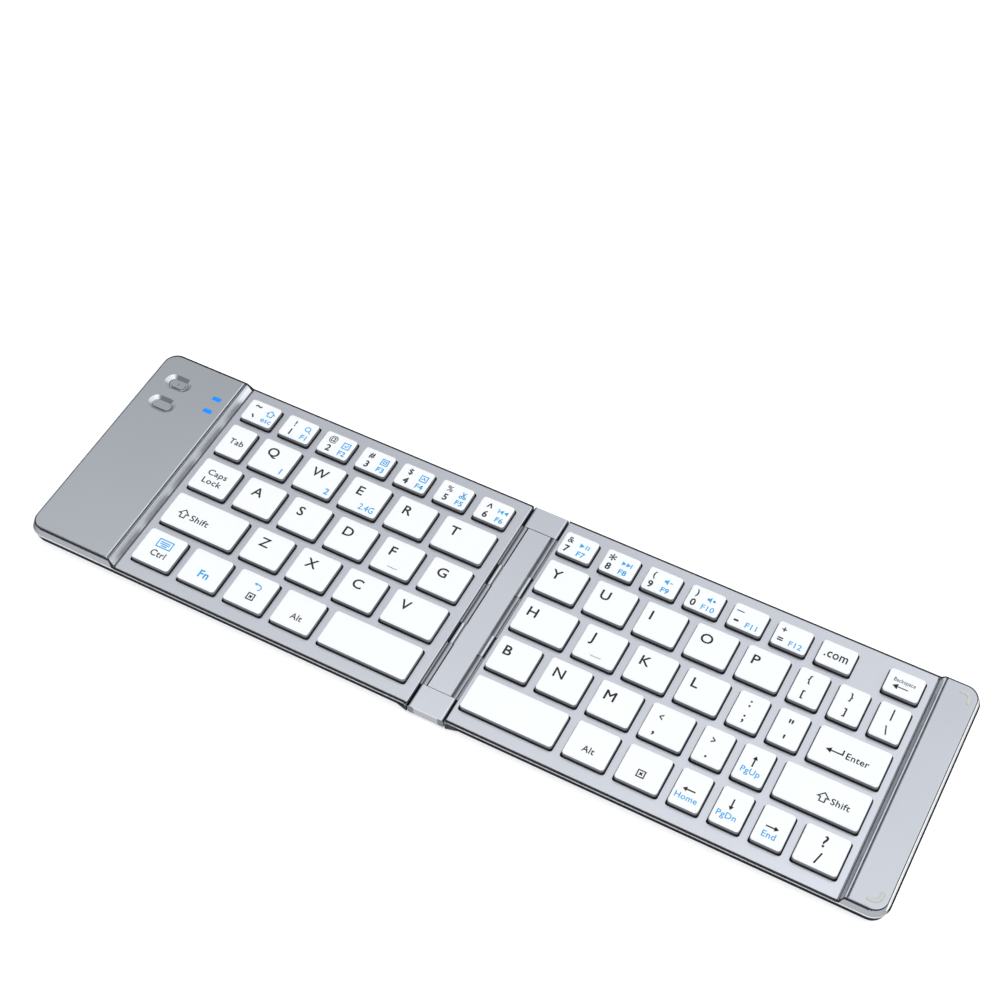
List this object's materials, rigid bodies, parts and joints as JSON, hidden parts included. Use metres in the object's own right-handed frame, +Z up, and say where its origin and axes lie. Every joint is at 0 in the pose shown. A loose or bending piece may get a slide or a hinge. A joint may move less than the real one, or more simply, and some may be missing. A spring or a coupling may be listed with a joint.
{
  "type": "folding keyboard",
  "caption": "Slim folding wireless keyboard: two unequal key halves on a double-hinged spine, with raised end covers, sprung keys, two push buttons and status lights.",
  "frame": {"origin": "on the table, under the middle of the spine and of the overall box, with the keyboard open and flat", "axes": "+X runs along the keyboard to the arrow-key end, +Y to the number-key row at the back, +Z up"},
  "size_m": [0.2914, 0.0838, 0.008],
  "materials": {
    "anodised_plate": "fine satin anodised silver sheet",
    "anodised_frame": "satin anodised silver, a little darker on its walls",
    "deck_plate": "smooth satin anodised light silver sheet",
    "bumper": "clear to pale cream soft pad",
    "board": "green circuit board",
    "dome_sheet": "pale silicone domes on a clear sheet",
    "foot": "soft low feet",
    "steel": "plain turned or pressed steel",
    "battery_wrap": "foil pouch",
    "port_shell": "drawn steel shell with a dark tongue",
    "light_guide": "blue-lit clear light guide",
    "button": "silver-painted moulded button",
    "flex": "amber flexible circuit",
    "key_cap": "fine-textured white moulded cap"
  },
  "bodies": {
    "right_half": {"right_bottom_plate": "anodised_plate", "right_frame": "anodised_frame", "right_deck_plate": "deck_plate", "right_end_cover": "anodised_plate", "right_end_bumpers": "bumper", "right_board": "board", "right_key_domes": "dome_sheet", "right_feet": "foot", "right_screws": "steel", "right_magnets": "steel"},
    "spine": {"spine_body": "anodised_frame", "spine_panel": "deck_plate", "hinge_pins": "steel", "flex_cable": "flex"},
    "left_half": {"left_bottom_plate": "anodised_plate", "left_frame": "anodised_frame", "left_deck_plate": "deck_plate", "left_end_cover": "anodised_plate", "left_board": "board", "left_key_domes": "dome_sheet", "left_feet": "foot", "left_screws": "steel", "left_magnets": "steel", "battery": "battery_wrap", "charge_port": "port_shell", "status_lights": "light_guide"},
    "power_button": {"power_button": "button"},
    "connect_button": {"connect_button": "button"},
    "key_a": {"key_a": "key_cap"},
    "key_b": {"key_b": "key_cap"},
    "key_c": {"key_c": "key_cap"},
    "key_d": {"key_d": "key_cap"},
    "key_e": {"key_e": "key_cap"},
    "key_f": {"key_f": "key_cap"},
    "key_g": {"key_g": "key_cap"},
    "key_h": {"key_h": "key_cap"},
    "key_i": {"key_i": "key_cap"},
    "key_j": {"key_j": "key_cap"},
    "key_k": {"key_k": "key_cap"},
    "key_l": {"key_l": "key_cap"},
    "key_m": {"key_m": "key_cap"},
    "key_n": {"key_n": "key_cap"},
    "key_o": {"key_o": "key_cap"},
    "key_p": {"key_p": "key_cap"},
    "key_q": {"key_q": "key_cap"},
    "key_r": {"key_r": "key_cap"},
    "key_s": {"key_s": "key_cap"},
    "key_t": {"key_t": "key_cap"},
    "key_u": {"key_u": "key_cap"},
    "key_v": {"key_v": "key_cap"},
    "key_w": {"key_w": "key_cap"},
    "key_x": {"key_x": "key_cap"},
    "key_y": {"key_y": "key_cap"},
    "key_z": {"key_z": "key_cap"},
    "left_space": {"left_space": "key_cap"},
    "right_space": {"right_space": "key_cap"},
    "left_number_keys": {"left_number_keys": "key_cap"},
    "right_number_keys": {"right_number_keys": "key_cap"},
    "left_command_keys": {"left_command_keys": "key_cap"},
    "right_command_keys": {"right_command_keys": "key_cap"}
  },
  "joints": [
    {"name": "right_hinge", "type": "hinge", "parent": "right_half", "child": "spine", "pos_m": [0.00515, 0, 0.00405], "axis": [0, 1, 0], "range_deg": [0, 90]},
    {"name": "left_hinge", "type": "hinge", "parent": "spine", "child": "left_half", "pos_m": [-0.00515, 0, 0.00405], "axis": [0, 1, 0], "range_deg": [0, 90]},
    {"name": "power_button_press", "type": "slide", "parent": "left_half", "child": "power_button", "axis": [0, 0, -1], "range_m": [0, 0.0003], "stiffness_N_per_m": 800, "springref_m": -0.0005},
    {"name": "connect_button_press", "type": "slide", "parent": "left_half", "child": "connect_button", "axis": [0, 0, -1], "range_m": [0, 0.0003], "stiffness_N_per_m": 800, "springref_m": -0.0005},
    {"name": "key_a_press", "type": "slide", "parent": "left_half", "child": "key_a", "axis": [0, 0, -1], "range_m": [0, 0.0015], "stiffness_N_per_m": 150, "springref_m": -0.002},
    {"name": "key_b_press", "type": "slide", "parent": "right_half", "child": "key_b", "axis": [0, 0, -1], "range_m": [0, 0.0015], "stiffness_N_per_m": 150, "springref_m": -0.002},
    {"name": "key_c_press", "type": "slide", "parent": "left_half", "child": "key_c", "axis": [0, 0, -1], "range_m": [0, 0.0015], "stiffness_N_per_m": 150, "springref_m": -0.002},
    {"name": "key_d_press", "type": "slide", "parent": "left_half", "child": "key_d", "axis": [0, 0, -1], "range_m": [0, 0.0015], "stiffness_N_per_m": 150, "springref_m": -0.002},
    {"name": "key_e_press", "type": "slide", "parent": "left_half", "child": "key_e", "axis": [0, 0, -1], "range_m": [0, 0.0015], "stiffness_N_per_m": 150, "springref_m": -0.002},
    {"name": "key_f_press", "type": "slide", "parent": "left_half", "child": "key_f", "axis": [0, 0, -1], "range_m": [0, 0.0015], "stiffness_N_per_m": 150, "springref_m": -0.002},
    {"name": "key_g_press", "type": "slide", "parent": "left_half", "child": "key_g", "axis": [0, 0, -1], "range_m": [0, 0.0015], "stiffness_N_per_m": 150, "springref_m": -0.002},
    {"name": "key_h_press", "type": "slide", "parent": "right_half", "child": "key_h", "axis": [0, 0, -1], "range_m": [0, 0.0015], "stiffness_N_per_m": 150, "springref_m": -0.002},
    {"name": "key_i_press", "type": "slide", "parent": "right_half", "child": "key_i", "axis": [0, 0, -1], "range_m": [0, 0.0015], "stiffness_N_per_m": 150, "springref_m": -0.002},
    {"name": "key_j_press", "type": "slide", "parent": "right_half", "child": "key_j", "axis": [0, 0, -1], "range_m": [0, 0.0015], "stiffness_N_per_m": 150, "springref_m": -0.002},
    {"name": "key_k_press", "type": "slide", "parent": "right_half", "child": "key_k", "axis": [0, 0, -1], "range_m": [0, 0.0015], "stiffness_N_per_m": 150, "springref_m": -0.002},
    {"name": "key_l_press", "type": "slide", "parent": "right_half", "child": "key_l", "axis": [0, 0, -1], "range_m": [0, 0.0015], "stiffness_N_per_m": 150, "springref_m": -0.002},
    {"name": "key_m_press", "type": "slide", "parent": "right_half", "child": "key_m", "axis": [0, 0, -1], "range_m": [0, 0.0015], "stiffness_N_per_m": 150, "springref_m": -0.002},
    {"name": "key_n_press", "type": "slide", "parent": "right_half", "child": "key_n", "axis": [0, 0, -1], "range_m": [0, 0.0015], "stiffness_N_per_m": 150, "springref_m": -0.002},
    {"name": "key_o_press", "type": "slide", "parent": "right_half", "child": "key_o", "axis": [0, 0, -1], "range_m": [0, 0.0015], "stiffness_N_per_m": 150, "springref_m": -0.002},
    {"name": "key_p_press", "type": "slide", "parent": "right_half", "child": "key_p", "axis": [0, 0, -1], "range_m": [0, 0.0015], "stiffness_N_per_m": 150, "springref_m": -0.002},
    {"name": "key_q_press", "type": "slide", "parent": "left_half", "child": "key_q", "axis": [0, 0, -1], "range_m": [0, 0.0015], "stiffness_N_per_m": 150, "springref_m": -0.002},
    {"name": "key_r_press", "type": "slide", "parent": "left_half", "child": "key_r", "axis": [0, 0, -1], "range_m": [0, 0.0015], "stiffness_N_per_m": 150, "springref_m": -0.002},
    {"name": "key_s_press", "type": "slide", "parent": "left_half", "child": "key_s", "axis": [0, 0, -1], "range_m": [0, 0.0015], "stiffness_N_per_m": 150, "springref_m": -0.002},
    {"name": "key_t_press", "type": "slide", "parent": "left_half", "child": "key_t", "axis": [0, 0, -1], "range_m": [0, 0.0015], "stiffness_N_per_m": 150, "springref_m": -0.002},
    {"name": "key_u_press", "type": "slide", "parent": "right_half", "child": "key_u", "axis": [0, 0, -1], "range_m": [0, 0.0015], "stiffness_N_per_m": 150, "springref_m": -0.002},
    {"name": "key_v_press", "type": "slide", "parent": "left_half", "child": "key_v", "axis": [0, 0, -1], "range_m": [0, 0.0015], "stiffness_N_per_m": 150, "springref_m": -0.002},
    {"name": "key_w_press", "type": "slide", "parent": "left_half", "child": "key_w", "axis": [0, 0, -1], "range_m": [0, 0.0015], "stiffness_N_per_m": 150, "springref_m": -0.002},
    {"name": "key_x_press", "type": "slide", "parent": "left_half", "child": "key_x", "axis": [0, 0, -1], "range_m": [0, 0.0015], "stiffness_N_per_m": 150, "springref_m": -0.002},
    {"name": "key_y_press", "type": "slide", "parent": "right_half", "child": "key_y", "axis": [0, 0, -1], "range_m": [0, 0.0015], "stiffness_N_per_m": 150, "springref_m": -0.002},
    {"name": "key_z_press", "type": "slide", "parent": "left_half", "child": "key_z", "axis": [0, 0, -1], "range_m": [0, 0.0015], "stiffness_N_per_m": 150, "springref_m": -0.002},
    {"name": "left_space_press", "type": "slide", "parent": "left_half", "child": "left_space", "axis": [0, 0, -1], "range_m": [0, 0.0015], "stiffness_N_per_m": 150, "springref_m": -0.002},
    {"name": "right_space_press", "type": "slide", "parent": "right_half", "child": "right_space", "axis": [0, 0, -1], "range_m": [0, 0.0015], "stiffness_N_per_m": 150, "springref_m": -0.002},
    {"name": "left_number_keys_press", "type": "slide", "parent": "left_half", "child": "left_number_keys", "axis": [0, 0, -1], "range_m": [0, 0.0015], "stiffness_N_per_m": 1050, "springref_m": -0.002},
    {"name": "right_number_keys_press", "type": "slide", "parent": "right_half", "child": "right_number_keys", "axis": [0, 0, -1], "range_m": [0, 0.0015], "stiffness_N_per_m": 1200, "springref_m": -0.002},
    {"name": "left_command_keys_press", "type": "slide", "parent": "left_half", "child": "left_command_keys", "axis": [0, 0, -1], "range_m": [0, 0.0015], "stiffness_N_per_m": 1050, "springref_m": -0.002},
    {"name": "right_command_keys_press", "type": "slide", "parent": "right_half", "child": "right_command_keys", "axis": [0, 0, -1], "range_m": [0, 0.0015], "stiffness_N_per_m": 2400, "springref_m": -0.002}
  ]
}
